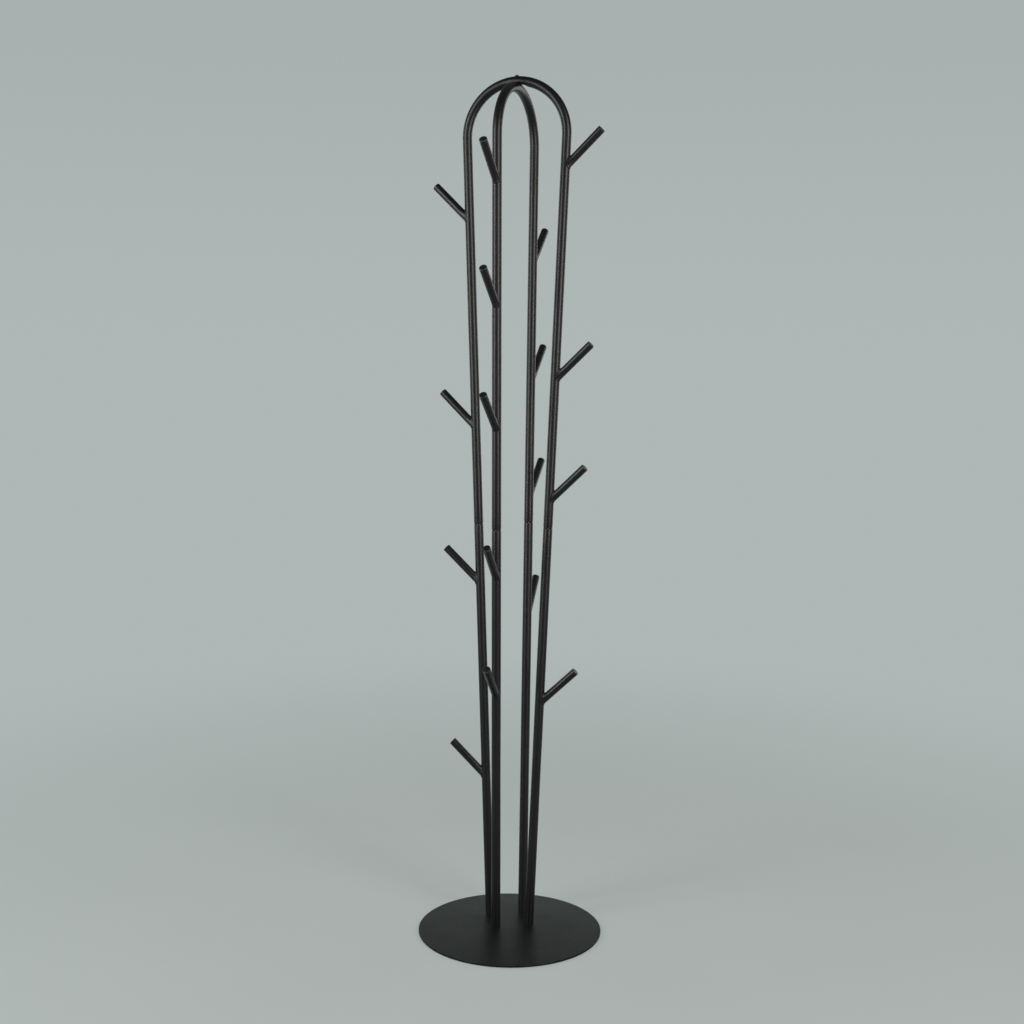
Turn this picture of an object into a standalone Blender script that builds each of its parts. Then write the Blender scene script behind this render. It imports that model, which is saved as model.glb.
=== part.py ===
"""Standing coat rack: two crossed tube hoops on a round steel base, with slanted pegs on its four legs.

The upper half is two hoops that cross at the crown.  Each of their four ends is screwed to a lower
tube, and the lower tubes are screwed to the base plate from below.  Pegs are welded to the legs.
"""

import math

import bmesh
import bpy
from mathutils import Matrix, Vector

# Lengths are in metres and angles in degrees.  +Z is up and the front faces -Y.  The origin is the
# centre of the round base, on the floor.

# Gap left between two pieces that touch on the real rack, and how far a cutter runs past a face.
CLEARANCE = 0.0003
OVERRUN = 0.005

# Base
PLATE_DIAMETER = 0.380
PLATE_THICKNESS = 0.004
PLATE_EDGE_ROUND = 0.0009
FELT_THICKNESS = 0.0012
FELT_INSET = 0.004
LEGS_SET_BACK = 0.0525

# Tubes.  FOOT_RADIUS and HOOP_RADIUS run from the legs' common axis to a tube's centre line.
TUBE_DIAMETER = 0.019
TUBE_WALL = 0.001
FOOT_RADIUS = 0.050
HOOP_RADIUS = 0.1065
LOWER_RISE = 0.8395
UPPER_RISE = 0.788
ROLLED_END_RADIUS = 0.0018
CROSSING_PRESS = 0.003
CROSSING_FADE = 0.014

# Bearings about +Z, counted from +X: the over hoop's plane, and the foot of its right leg.  The
# lower tubes stop a little past the hoops' plane when their threads are tight.
HOOP_BEARING = -21.4
FOOT_BEARING = -35.0
LOWER_PEG_TURN = 6.0

# Threaded joints half-way up the legs
STUD_DIAMETER = 0.008
STUD_LENGTH = 0.036
JOINT_INSERT_LENGTH = 0.022

# Screws under the base
BASE_SCREW_DIAMETER = 0.006
BASE_SCREW_HEAD_DIAMETER = 0.012
BASE_SCREW_HEAD_HEIGHT = 0.003
BASE_SCREW_LENGTH = 0.022
BASE_SCREW_SOCKET = 0.004
BASE_SCREW_SOCKET_DEPTH = 0.002
FOOT_INSERT_LENGTH = 0.024
FELT_HOLE_MARGIN = 0.0015

# Screw that clamps the two hoops at the crown
CROWN_SCREW_DIAMETER = 0.005
CROWN_SCREW_HEAD_DIAMETER = 0.0085
CROWN_SCREW_HEAD_HEIGHT = 0.0022
CROWN_SCREW_REACH = 0.010
CROWN_INSERT_DIAMETER = 0.0072
CROWN_INSERT_COLLAR_DIAMETER = 0.010
CROWN_INSERT_COLLAR_HEIGHT = 0.002

# Pegs.  PEG_LENGTH runs from the leg's axis to the tip, PEG_SLANT from the vertical.
PEG_DIAMETER = 0.016
PEG_WALL = 0.0015
PEG_END_THICKNESS = 0.002
PEG_TIP_ROUND = 0.0012
PEG_LENGTH = 0.104
PEG_SLANT = 46.4

# Pegs on the hoops' straight legs, each at a share of the rise from the joint to the over hoop's bend.
HOOP_PEG_PLACES = {
    "left": (0.790, 0.256),
    "front": (0.869, 0.565, 0.256),
    "back": (0.689, 0.378, 0.070),
    "right": (0.916, 0.383, 0.070),
}

# Pegs on the lower tubes, each at a share of the rise from the base to the joint.
LOWER_PEG_PLACES = {
    "left": (0.852, 0.357),
    "front": (0.881, 0.589),
    "back": (0.764,),
    "right": (0.565,),
}

# Each leg's turn from the right leg, and the hoop that it belongs to.
LEG_TURNS = {"right": 0.0, "back": 90.0, "left": 180.0, "front": 270.0}
HOOP_LEGS = {"over_hoop": ("left", "right"), "under_hoop": ("front", "back")}

# Facets
TUBE_SIDES = 18
PEG_SIDES = 16
SCREW_SIDES = 16
PLATE_SIDES = 72
CUTTER_SIDES = 24
BEND_STEP = 10.0
CROWN_STEP_ANGLE = 2.0
CROWN_SPAN = 12.0
ROLLED_END_ANGLES = (15.0, 40.0, 65.0, 90.0)

# Heights and radii that follow from the sizes above
TUBE_RADIUS = TUBE_DIAMETER / 2
PLATE_BOTTOM = FELT_THICKNESS + CLEARANCE
PLATE_TOP = PLATE_BOTTOM + PLATE_THICKNESS
TUBE_BOTTOM = PLATE_TOP + CLEARANCE
JOINT_Z = PLATE_TOP + LOWER_RISE
CROWN_DROP = TUBE_DIAMETER - 2 * CROSSING_PRESS
BEND_Z = {"over_hoop": JOINT_Z + UPPER_RISE, "under_hoop": JOINT_Z + UPPER_RISE - CROWN_DROP}
CONTACT_Z = BEND_Z["over_hoop"] + HOOP_RADIUS - CROWN_DROP / 2
INSERT_RADIUS = TUBE_RADIUS - TUBE_WALL - CLEARANCE
LEGS_AXIS = Vector((0.0, LEGS_SET_BACK, 0.0))


# ---------------------------------------------------------------- scene helpers


def clear_scene():
    for old in list(bpy.data.objects):
        bpy.data.objects.remove(old, do_unlink=True)


def new_collection(name):
    collection = bpy.data.collections.new(name)
    bpy.context.scene.collection.children.link(collection)
    return collection


def new_material(name, colour, roughness, metallic):
    material = bpy.data.materials.new(name)
    material.use_nodes = True
    shader = material.node_tree.nodes["Principled BSDF"]
    shader.inputs["Base Color"].default_value = (*colour, 1.0)
    shader.inputs["Roughness"].default_value = roughness
    shader.inputs["Metallic"].default_value = metallic
    material.diffuse_color = (*colour, 1.0)
    return material


def add_mesh_object(name, mesh, collection, material=None):
    obj = bpy.data.objects.new(name, mesh)
    collection.objects.link(obj)
    if material:
        mesh.materials.clear()
        mesh.materials.append(material)
    mesh.shade_smooth()
    mesh.set_sharp_from_angle(angle=math.radians(30))
    return obj


def mark_cutter(obj):
    obj.hide_render = True
    obj.display_type = "WIRE"
    return obj


def aim_up(origin, direction):
    """A placement that puts the local origin at a point and local +Z along a direction."""
    return Matrix.Translation(origin) @ direction.to_track_quat("Z", "Y").to_matrix().to_4x4()


# ---------------------------------------------------------------- shapes


def add_turned(name, profile, sides, placement, collection, material=None, ring=False):
    """A profile of (radius, height) points turned about +Z, its outer side running from top to bottom.

    A ring's profile is a closed loop, and any other profile starts and ends on the axis.
    """
    work = bmesh.new()
    points = [work.verts.new((radius, 0.0, height)) for radius, height in profile]
    for start, end in zip(points, points[1:]):
        work.edges.new((start, end))
    if ring:
        work.edges.new((points[-1], points[0]))
    mesh = bpy.data.meshes.new(name)
    work.to_mesh(mesh)
    work.free()
    obj = add_mesh_object(name, mesh, collection, material)
    obj.matrix_world = placement
    screw = obj.modifiers.new("Turn", "SCREW")
    screw.axis = "Z"
    screw.angle = math.tau
    screw.steps = sides
    screw.render_steps = sides
    screw.use_merge_vertices = True
    screw.merge_threshold = 0.00001
    screw.use_normal_calculate = False
    return obj


def add_cylinder(name, radius, low, high, sides, placement, collection, material=None):
    """A solid cylinder about the placement's +Z, from one height to another."""
    mesh = bpy.data.meshes.new(name)
    work = bmesh.new()
    bmesh.ops.create_cone(
        work,
        cap_ends=True,
        segments=sides,
        radius1=radius,
        radius2=radius,
        depth=high - low,
        matrix=Matrix.Translation((0.0, 0.0, (low + high) / 2)),
    )
    work.to_mesh(mesh)
    work.free()
    obj = add_mesh_object(name, mesh, collection, material)
    obj.matrix_world = placement
    return obj


def add_round_edge(obj, width, segments):
    bevel = obj.modifiers.new("Rounded edges", "BEVEL")
    bevel.width = width
    bevel.segments = segments
    bevel.limit_method = "ANGLE"
    bevel.angle_limit = math.radians(40)


def cut(obj, cutter):
    boolean = obj.modifiers.new("Cut " + cutter.name, "BOOLEAN")
    boolean.operation = "DIFFERENCE"
    boolean.object = cutter


def sweep_tube_surface(name, path, collection, material):
    """An open round surface swept along a path of (point, share of the full radius)."""
    curve = bpy.data.curves.new(name + "_path", "CURVE")
    curve.dimensions = "3D"
    curve.bevel_depth = TUBE_RADIUS
    curve.bevel_resolution = TUBE_SIDES // 2 - 2
    curve.use_fill_caps = False
    spline = curve.splines.new("POLY")
    spline.points.add(len(path) - 1)
    for spot, (point, share) in zip(spline.points, path):
        spot.co = (*point, 1.0)
        spot.radius = share
    guide = bpy.data.objects.new(name + "_path", curve)
    collection.objects.link(guide)
    bpy.context.view_layer.update()
    evaluated = guide.evaluated_get(bpy.context.evaluated_depsgraph_get())
    mesh = bpy.data.meshes.new_from_object(evaluated)
    mesh.transform(guide.matrix_world)
    bpy.data.objects.remove(guide, do_unlink=True)
    bpy.data.curves.remove(curve)
    mesh.name = name
    return add_mesh_object(name, mesh, collection, material)


def add_wall(obj):
    """Gives a tube's outer surface its wall, inwards."""
    solidify = obj.modifiers.new("Tube wall", "SOLIDIFY")
    solidify.thickness = TUBE_WALL
    solidify.offset = -1.0
    solidify.use_even_offset = True


# ---------------------------------------------------------------- where the legs run


def bearing_vector(degrees):
    angle = math.radians(degrees)
    return Vector((math.cos(angle), math.sin(angle), 0.0))


def hoop_of(leg):
    return next(hoop for hoop, legs in HOOP_LEGS.items() if leg in legs)


def foot_point(leg):
    """Centre of a leg on top of the base plate."""
    outward = bearing_vector(FOOT_BEARING + LEG_TURNS[leg])
    return LEGS_AXIS + outward * FOOT_RADIUS + Vector((0.0, 0.0, PLATE_TOP))


def bend_point(leg, angle):
    """Point on the bend of a leg's hoop, by its angle above the leg's own side."""
    outward = bearing_vector(HOOP_BEARING + LEG_TURNS[leg])
    height = BEND_Z[hoop_of(leg)] + HOOP_RADIUS * math.sin(angle)
    return LEGS_AXIS + outward * HOOP_RADIUS * math.cos(angle) + Vector((0.0, 0.0, height))


def shoulder_angle(leg):
    """Angle at which the straight leg meets the bend as its tangent, in the hoop's plane."""
    drop = BEND_Z[hoop_of(leg)] - PLATE_TOP
    inset = FOOT_RADIUS * math.cos(math.radians(FOOT_BEARING - HOOP_BEARING))
    return math.atan2(-drop, inset) + math.acos(HOOP_RADIUS / math.hypot(drop, inset))


def leg_direction(leg):
    return (bend_point(leg, shoulder_angle(leg)) - foot_point(leg)).normalized()


def leg_point(leg, height):
    """Point on a leg's straight centre line at a height."""
    direction = leg_direction(leg)
    foot = foot_point(leg)
    return foot + direction * ((height - foot.z) / direction.z)


def rolled_end(leg, upwards):
    """Path points of a tube end at the joint, rolled in to a small radius, from the end inwards."""
    direction = leg_direction(leg) * (1.0 if upwards else -1.0)
    end = leg_point(leg, JOINT_Z) + direction * CLEARANCE / 2
    path = []
    for degrees in ROLLED_END_ANGLES:
        angle = math.radians(degrees)
        inset = ROLLED_END_RADIUS * (1.0 - math.sin(angle))
        back = ROLLED_END_RADIUS * (1.0 - math.cos(angle))
        path.append((end + direction * back, (TUBE_RADIUS - inset) / TUBE_RADIUS))
    return path


def half_hoop(leg):
    """Path of one half of a hoop, from its joint to just before the crown."""
    path = rolled_end(leg, upwards=True)
    start = shoulder_angle(leg)
    crown = math.pi / 2
    dense = crown - math.radians(CROWN_SPAN)
    coarse_steps = math.ceil(math.degrees(dense - start) / BEND_STEP)
    dense_steps = round(CROWN_SPAN / CROWN_STEP_ANGLE)
    for step in range(coarse_steps):
        path.append((bend_point(leg, start + (dense - start) * step / coarse_steps), 1.0))
    for step in range(dense_steps):
        path.append((bend_point(leg, dense + (crown - dense) * step / dense_steps), 1.0))
    return path


# ---------------------------------------------------------------- pieces


def press_crossing(mesh, hoop):
    """Flattens a hoop where it lies against the other one, fading out along the tube."""
    along = bearing_vector(HOOP_BEARING + LEG_TURNS[HOOP_LEGS[hoop][1]])
    flat_reach = TUBE_RADIUS + CLEARANCE
    face = CONTACT_Z + (CLEARANCE / 2 if hoop == "over_hoop" else -CLEARANCE / 2)
    keep = max if hoop == "over_hoop" else min
    for vertex in mesh.vertices:
        reach = abs((vertex.co - LEGS_AXIS).dot(along))
        if vertex.co.z < JOINT_Z + UPPER_RISE or reach > flat_reach + CROSSING_FADE:
            continue
        fade = max(0.0, (reach - flat_reach) / CROSSING_FADE)
        share = 1.0 - fade * fade * (3.0 - 2.0 * fade)
        vertex.co.z += share * (keep(vertex.co.z, face) - vertex.co.z)


def add_hoop(name, parts, cutters, material):
    first, second = HOOP_LEGS[name]
    crown = (bend_point(first, math.pi / 2), 1.0)
    path = half_hoop(first) + [crown] + half_hoop(second)[::-1]
    hoop = sweep_tube_surface(name, path, parts, material)
    press_crossing(hoop.data, name)
    add_wall(hoop)
    if name == "over_hoop":
        radius = CROWN_SCREW_DIAMETER / 2 + CLEARANCE
        low = CONTACT_Z - OVERRUN
    else:
        radius = CROWN_INSERT_DIAMETER / 2 + CLEARANCE
        low = CONTACT_Z - CROSSING_PRESS
    high = CONTACT_Z + TUBE_DIAMETER + OVERRUN
    axis = Matrix.Translation(LEGS_AXIS)
    hole = add_cylinder(name + "_crown_hole", radius, low, high, SCREW_SIDES, axis, cutters)
    cut(hoop, mark_cutter(hole))


def add_lower_tube(leg, parts, floor_cutter, material):
    below = leg_point(leg, PLATE_BOTTOM)
    path = [(below, 1.0)] + rolled_end(leg, upwards=False)[::-1]
    tube = sweep_tube_surface("lower_tube_" + leg, path, parts, material)
    add_wall(tube)
    cut(tube, floor_cutter)


def add_floor_cutter(cutters):
    """A slab whose top is the plane that the tubes and their inserts end on."""
    size = 4 * (FOOT_RADIUS + TUBE_DIAMETER)
    depth = 4 * (PLATE_THICKNESS + OVERRUN)
    mesh = bpy.data.meshes.new("floor_cutter")
    work = bmesh.new()
    bmesh.ops.create_cube(work, size=1.0)
    bmesh.ops.scale(work, verts=work.verts, vec=(size, size, depth))
    bmesh.ops.translate(work, verts=work.verts, vec=(0.0, LEGS_SET_BACK, TUBE_BOTTOM - depth / 2))
    work.to_mesh(mesh)
    work.free()
    return mark_cutter(add_mesh_object("floor_cutter", mesh, cutters))


def add_foot_fastening(leg, parts, cutters, floor_cutter, zinc):
    """The threaded insert in a tube's foot and the countersunk screw that holds it to the plate."""
    foot = foot_point(leg)
    upright = Matrix.Translation((foot.x, foot.y, 0.0))
    screw_radius = BASE_SCREW_DIAMETER / 2

    leaning = aim_up(foot, leg_direction(leg))
    insert = add_cylinder(
        "foot_insert_" + leg,
        INSERT_RADIUS,
        -PLATE_THICKNESS,
        FOOT_INSERT_LENGTH,
        TUBE_SIDES,
        leaning,
        parts,
        zinc,
    )
    bore = add_cylinder(
        "foot_bore_" + leg,
        screw_radius + CLEARANCE,
        -OVERRUN,
        TUBE_BOTTOM + FOOT_INSERT_LENGTH + OVERRUN,
        SCREW_SIDES,
        upright,
        cutters,
    )
    cut(insert, mark_cutter(bore))
    cut(insert, floor_cutter)

    head_top = PLATE_BOTTOM + BASE_SCREW_HEAD_HEIGHT
    head_radius = BASE_SCREW_HEAD_DIAMETER / 2
    profile = [
        (0.0, PLATE_BOTTOM + BASE_SCREW_LENGTH),
        (screw_radius, PLATE_BOTTOM + BASE_SCREW_LENGTH),
        (screw_radius, head_top),
        (head_radius, PLATE_BOTTOM),
        (0.0, PLATE_BOTTOM),
    ]
    screw = add_turned("base_screw_" + leg, profile, SCREW_SIDES, upright, parts, zinc)
    socket_top = PLATE_BOTTOM + BASE_SCREW_SOCKET_DEPTH
    socket_radius = BASE_SCREW_SOCKET / math.sqrt(3)
    socket = add_cylinder("socket_" + leg, socket_radius, -OVERRUN, socket_top, 6, upright, cutters)
    cut(screw, mark_cutter(socket))


def plate_hole_cutter(leg, cutters):
    """A countersunk hole through the base plate, wide side down."""
    foot = foot_point(leg)
    radius = BASE_SCREW_DIAMETER / 2 + CLEARANCE
    sink = BASE_SCREW_HEAD_DIAMETER / 2 + CLEARANCE
    profile = [
        (0.0, PLATE_TOP + OVERRUN),
        (radius, PLATE_TOP + OVERRUN),
        (radius, PLATE_BOTTOM + BASE_SCREW_HEAD_HEIGHT),
        (sink, PLATE_BOTTOM),
        (sink, PLATE_BOTTOM - OVERRUN),
        (0.0, PLATE_BOTTOM - OVERRUN),
    ]
    upright = Matrix.Translation((foot.x, foot.y, 0.0))
    return mark_cutter(add_turned("plate_hole_" + leg, profile, SCREW_SIDES, upright, cutters))


def felt_hole_cutter(leg, cutters):
    """A hole that leaves room for the key of a base screw."""
    foot = foot_point(leg)
    radius = BASE_SCREW_HEAD_DIAMETER / 2 + FELT_HOLE_MARGIN
    upright = Matrix.Translation((foot.x, foot.y, 0.0))
    name = "felt_hole_" + leg
    return mark_cutter(
        add_cylinder(name, radius, -OVERRUN, FELT_THICKNESS + OVERRUN, CUTTER_SIDES, upright, cutters)
    )


def add_base(parts, cutters, coat, felt_material):
    centre = Matrix.Identity(4)
    radius = PLATE_DIAMETER / 2
    plate = add_cylinder("base_plate", radius, PLATE_BOTTOM, PLATE_TOP, PLATE_SIDES, centre, parts, coat)
    add_round_edge(plate, PLATE_EDGE_ROUND, 2)
    radius = PLATE_DIAMETER / 2 - FELT_INSET
    felt = add_cylinder("floor_felt", radius, 0.0, FELT_THICKNESS, PLATE_SIDES, centre, parts, felt_material)
    for leg in LEG_TURNS:
        cut(plate, plate_hole_cutter(leg, cutters))
        cut(felt, felt_hole_cutter(leg, cutters))


def add_joint(leg, parts, zinc):
    """The two threaded inserts and the stud that join a lower tube to its hoop."""
    placement = aim_up(leg_point(leg, JOINT_Z), leg_direction(leg))
    near = CLEARANCE / 2 + ROLLED_END_RADIUS + CLEARANCE
    far = near + JOINT_INSERT_LENGTH
    bore = STUD_DIAMETER / 2 + CLEARANCE
    for name, low, high in (("upper_insert_", near, far), ("lower_insert_", -far, -near)):
        profile = [(INSERT_RADIUS, high), (INSERT_RADIUS, low), (bore, low), (bore, high)]
        add_turned(name + leg, profile, TUBE_SIDES, placement, parts, zinc, ring=True)
    half = STUD_LENGTH / 2
    add_cylinder("joint_stud_" + leg, STUD_DIAMETER / 2, -half, half, SCREW_SIDES, placement, parts, zinc)


def leg_cutter(leg, cutters):
    """The room a leg takes out of the roots of its pegs."""
    foot = foot_point(leg)
    length = (bend_point(leg, shoulder_angle(leg)) - foot).length
    placement = aim_up(foot, leg_direction(leg))
    radius = TUBE_RADIUS + CLEARANCE
    return mark_cutter(add_cylinder("leg_room_" + leg, radius, 0.0, length, CUTTER_SIDES, placement, cutters))


def add_peg(name, leg, height, turn, parts, leg_room, material):
    """A round peg, hollow and closed at its tip, whose root is cut to fit against its leg."""
    slant = math.radians(PEG_SLANT)
    outward = bearing_vector(HOOP_BEARING + LEG_TURNS[leg] + turn)
    direction = outward * math.sin(slant) + Vector((0.0, 0.0, math.cos(slant)))
    radius = PEG_DIAMETER / 2
    inside = radius - PEG_WALL
    tip = PEG_LENGTH
    profile = [
        (0.0, tip),
        (radius - PEG_TIP_ROUND, tip),
        (radius - PEG_TIP_ROUND * (1 - math.sqrt(0.5)), tip - PEG_TIP_ROUND * (1 - math.sqrt(0.5))),
        (radius, tip - PEG_TIP_ROUND),
        (radius, 0.0),
        (inside, 0.0),
        (inside, tip - PEG_END_THICKNESS),
        (0.0, tip - PEG_END_THICKNESS),
    ]
    placement = aim_up(leg_point(leg, height), direction)
    peg = add_turned(name, profile, PEG_SIDES, placement, parts, material)
    cut(peg, leg_room)


def add_leg_pegs(leg, parts, cutters, material):
    """A leg's pegs, numbered from the top."""
    leg_room = leg_cutter(leg, cutters)
    places = [(JOINT_Z + UPPER_RISE * share, 0.0) for share in HOOP_PEG_PLACES[leg]]
    places += [(PLATE_TOP + LOWER_RISE * share, LOWER_PEG_TURN) for share in LOWER_PEG_PLACES[leg]]
    for number, (height, turn) in enumerate(places, start=1):
        add_peg(f"peg_{leg}_{number}", leg, height, turn, parts, leg_room, material)


def add_crown_fastening(parts, zinc, coat):
    """The screw that comes down through both hoops and the insert that it threads into."""
    axis = Matrix.Translation(LEGS_AXIS)
    screw_radius = CROWN_SCREW_DIAMETER / 2
    head_radius = CROWN_SCREW_HEAD_DIAMETER / 2
    head_bottom = BEND_Z["over_hoop"] + HOOP_RADIUS + TUBE_RADIUS + CLEARANCE
    head_top = head_bottom + CROWN_SCREW_HEAD_HEIGHT
    screw_bottom = CONTACT_Z - CROWN_SCREW_REACH
    screw_profile = [
        (0.0, head_top),
        (head_radius * 0.55, head_top - CROWN_SCREW_HEAD_HEIGHT * 0.12),
        (head_radius * 0.88, head_top - CROWN_SCREW_HEAD_HEIGHT * 0.45),
        (head_radius, head_bottom),
        (screw_radius, head_bottom),
        (screw_radius, screw_bottom),
        (0.0, screw_bottom),
    ]
    add_turned("crown_screw", screw_profile, SCREW_SIDES, axis, parts, coat)

    bore = screw_radius + CLEARANCE
    sleeve = CROWN_INSERT_DIAMETER / 2
    collar = CROWN_INSERT_COLLAR_DIAMETER / 2
    top = CONTACT_Z - CLEARANCE / 2
    collar_top = top - TUBE_WALL - CLEARANCE
    collar_bottom = collar_top - CROWN_INSERT_COLLAR_HEIGHT
    insert_profile = [
        (sleeve, top),
        (sleeve, collar_top),
        (collar, collar_top),
        (collar, collar_bottom),
        (sleeve, collar_bottom),
        (sleeve, screw_bottom),
        (bore, screw_bottom),
        (bore, top),
    ]
    add_turned("crown_insert", insert_profile, SCREW_SIDES, axis, parts, zinc, ring=True)


def build():
    clear_scene()
    parts = new_collection("coat_rack")
    cutters = new_collection("cutters")
    coat = new_material("black_powder_coat", (0.018, 0.019, 0.019), 0.42, 0.0)
    plate_coat = new_material("black_base_coat", (0.020, 0.022, 0.022), 0.55, 0.0)
    zinc = new_material("zinc_plated_steel", (0.55, 0.56, 0.56), 0.35, 1.0)
    felt = new_material("charcoal_felt", (0.05, 0.05, 0.05), 0.95, 0.0)

    add_base(parts, cutters, plate_coat, felt)
    floor_cutter = add_floor_cutter(cutters)
    for leg in LEG_TURNS:
        add_foot_fastening(leg, parts, cutters, floor_cutter, zinc)
        add_lower_tube(leg, parts, floor_cutter, coat)
        add_joint(leg, parts, zinc)
        add_leg_pegs(leg, parts, cutters, coat)
    for hoop in HOOP_LEGS:
        add_hoop(hoop, parts, cutters, coat)
    add_crown_fastening(parts, zinc, coat)


build()
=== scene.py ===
"""Standing coat rack: finished looks of the steel hoops, tubes, pegs, welds and base, and a plain studio."""

import math

import bmesh
import bpy
from bpy.props import FloatProperty, FloatVectorProperty, IntProperty, PointerProperty
from mathutils import Matrix, Vector
from mathutils.noise import noise as noise_at


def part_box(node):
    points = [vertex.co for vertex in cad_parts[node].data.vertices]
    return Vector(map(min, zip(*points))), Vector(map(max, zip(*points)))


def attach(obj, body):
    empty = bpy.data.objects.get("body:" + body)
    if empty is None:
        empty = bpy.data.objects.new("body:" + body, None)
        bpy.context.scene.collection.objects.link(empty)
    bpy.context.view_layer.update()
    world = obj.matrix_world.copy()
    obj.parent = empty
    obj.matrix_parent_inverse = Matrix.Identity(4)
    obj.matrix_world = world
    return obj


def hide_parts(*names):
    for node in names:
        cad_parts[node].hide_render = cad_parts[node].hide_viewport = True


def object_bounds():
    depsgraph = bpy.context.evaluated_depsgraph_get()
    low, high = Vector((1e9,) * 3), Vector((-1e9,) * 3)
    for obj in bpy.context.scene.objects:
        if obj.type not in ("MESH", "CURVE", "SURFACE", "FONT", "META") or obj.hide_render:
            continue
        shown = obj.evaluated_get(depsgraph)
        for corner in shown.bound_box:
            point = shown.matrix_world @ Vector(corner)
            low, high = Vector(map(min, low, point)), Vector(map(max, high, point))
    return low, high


bl_info = {
    "name": "Standing Coat Rack",
    "version": (1, 0, 0),
    "blender": (4, 5, 0),
    "location": "3D View > Sidebar > Coat Rack",
    "description": "Builds the coated steel, welds, felt and fasteners of a coat rack, and its studio",
    "category": "Add Mesh",
}

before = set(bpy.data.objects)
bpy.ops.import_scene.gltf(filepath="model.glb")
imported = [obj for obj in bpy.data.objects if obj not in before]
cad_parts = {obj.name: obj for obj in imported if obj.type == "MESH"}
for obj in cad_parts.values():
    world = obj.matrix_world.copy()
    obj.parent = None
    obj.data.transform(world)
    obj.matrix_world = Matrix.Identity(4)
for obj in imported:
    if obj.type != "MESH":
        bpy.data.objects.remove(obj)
cad_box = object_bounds()

BODY = "root"
UP = Vector((0.0, 0.0, 1.0))
LEGS = ("left", "front", "back", "right")
HOOP_LEGS = {"over_hoop": ("left", "right"), "under_hoop": ("front", "back")}
ZINC_FITTINGS = ("foot_insert_", "lower_insert_", "upper_insert_", "joint_stud_", "crown_insert")

SAME_FACE = 0.9999  # cosine between normals that belong to one flat face
SAME_CORNER = 6  # decimals by which corners are told apart
NEAR = 1e-5  # distance under which two places count as one
SHARP_ANGLE = math.radians(40)

RUN_STEP = 0.04  # length of one step of a straight tube
ROLL_STEPS = 6
DOME_STEPS = 8
BEAD_STEPS = 6
PLATE_SIDES = 192
EDGE_STEPS = 4
SCREW_SIDES = 48
PEG_SIDES = 96
FLOOR_SIDES = 96

PRESS_FULL = 0.8  # share of a tube's radius within which it is pressed quite flat
DRILL_WALLS = 3  # walls that the crown hole goes below the flat where the hoops meet
FELT_EDGE = 0.35  # radius of the felt's edges, as a share of its thickness
TIP_INSET = 0.0001  # how far a peg's tip stays inside the CAD tip
BORE_END = 1.3  # walls from a peg's tip to the end of its bore
TIP_BAND = 2.5  # tip rounds from a peg's tip to its first plain ring

WELD_RIPPLES = 22
WELD_SINK = 0.00015  # how far the bead's toe goes under the leg's skin
WELD_REACH = 1.1  # how much further the bead runs up the peg than out over the leg
WELD_CLEAR = 3  # bead sizes from a peg's root to where its side is plain again
WANDER = 0.30  # share by which the bead grows and shrinks slowly
WANDER_SCALE = 1.6
WANDER_SEED_STEP = 0.7
RIPPLE_DRIFT = 1.5  # how far the slow wander shifts the ripples, in radians

DOME_START = math.radians(18)  # where the crown screw's flat top turns into its dome
DOME_BAND = 0.12  # height of the straight band under the dome, as a share of the head
# The top of the crown screw's dome gets the painted highlight of the edge mark: a lighter colour that stands
# in for a reflection.
DOME_GLINT_FROM = 0.6  # share of the head's height above which the dome is rubbed
DOME_GLINT = 0.6  # how rubbed it is there
CROWN_SOCKET_DEPTH = 0.62  # depth of its socket, as a share of the head's height
SCREW_LAND = 0.0003  # narrow chamfer round a base screw's head and tip

NOISE_RANGE = (0.3, 0.7)  # what nearly all values of a noise lie between
# Under the edge mark the coat is painted lighter, as a highlight, and made smoother.
GLINT_GLOSS = -0.12  # what rubbing adds to the coat's roughness
DUST_DULLNESS = 0.5  # what full dust adds to it
BLUISH_ZINC = (0.80, 0.86, 0.92)  # red, green and blue left in the bluish clouds of the plating
LIGHT_FIBRE = 2.3  # how much lighter the felt's lightest fibres are

AIM_SHARE = 0.2  # how far up from the rack's middle a raised light aims, as a share of its own rise
FLOOR_FADE = 0.97  # share of the floor's reach at which it is quite gone


# ---------------- reading the frame


def middle_of(box):
    return (box[0] + box[1]) / 2


def half_width(box):
    return (box[1].x - box[0].x) / 2


def levelled(vector):
    """A vector without its height: a place on the floor, or a level direction."""
    return Vector((vector.x, vector.y, 0.0))


def end_face(node, towards):
    """Centre and normal of the flat end of a CAD node that looks most nearly along a direction."""
    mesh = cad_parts[node].data
    normal = max((face.normal for face in mesh.polygons), key=towards.dot).copy()
    corners = {
        tuple(round(value, SAME_CORNER) for value in mesh.vertices[index].co)
        for face in mesh.polygons
        if face.normal.dot(normal) > SAME_FACE
        for index in face.vertices
    }
    return sum((Vector(corner) for corner in corners), Vector()) / len(corners), normal


def reach_from_line(node, point, direction):
    """The largest distance of a CAD node's corners from a line."""
    return max(
        (vertex.co - point).cross(direction).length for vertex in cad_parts[node].data.vertices
    )


def pegs_of(leg):
    """Names of a leg's pegs, from the top down."""
    return sorted(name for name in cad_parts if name.startswith(f"peg_{leg}_"))


def base_screw_of(leg):
    """A base screw's axis on the floor, its shank and head radius, and its head's height."""
    name = "base_screw_" + leg
    low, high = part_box(name)
    axis = levelled((low + high) / 2)
    corners = [vertex.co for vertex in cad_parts[name].data.vertices]
    shank = max((corner - axis).xy.length for corner in corners if corner.z > high.z - NEAR)
    shoulder = min(corner.z for corner in corners if abs((corner - axis).xy.length - shank) < NEAR)
    return axis, shank, (high.x - low.x) / 2, shoulder - low.z


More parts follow.
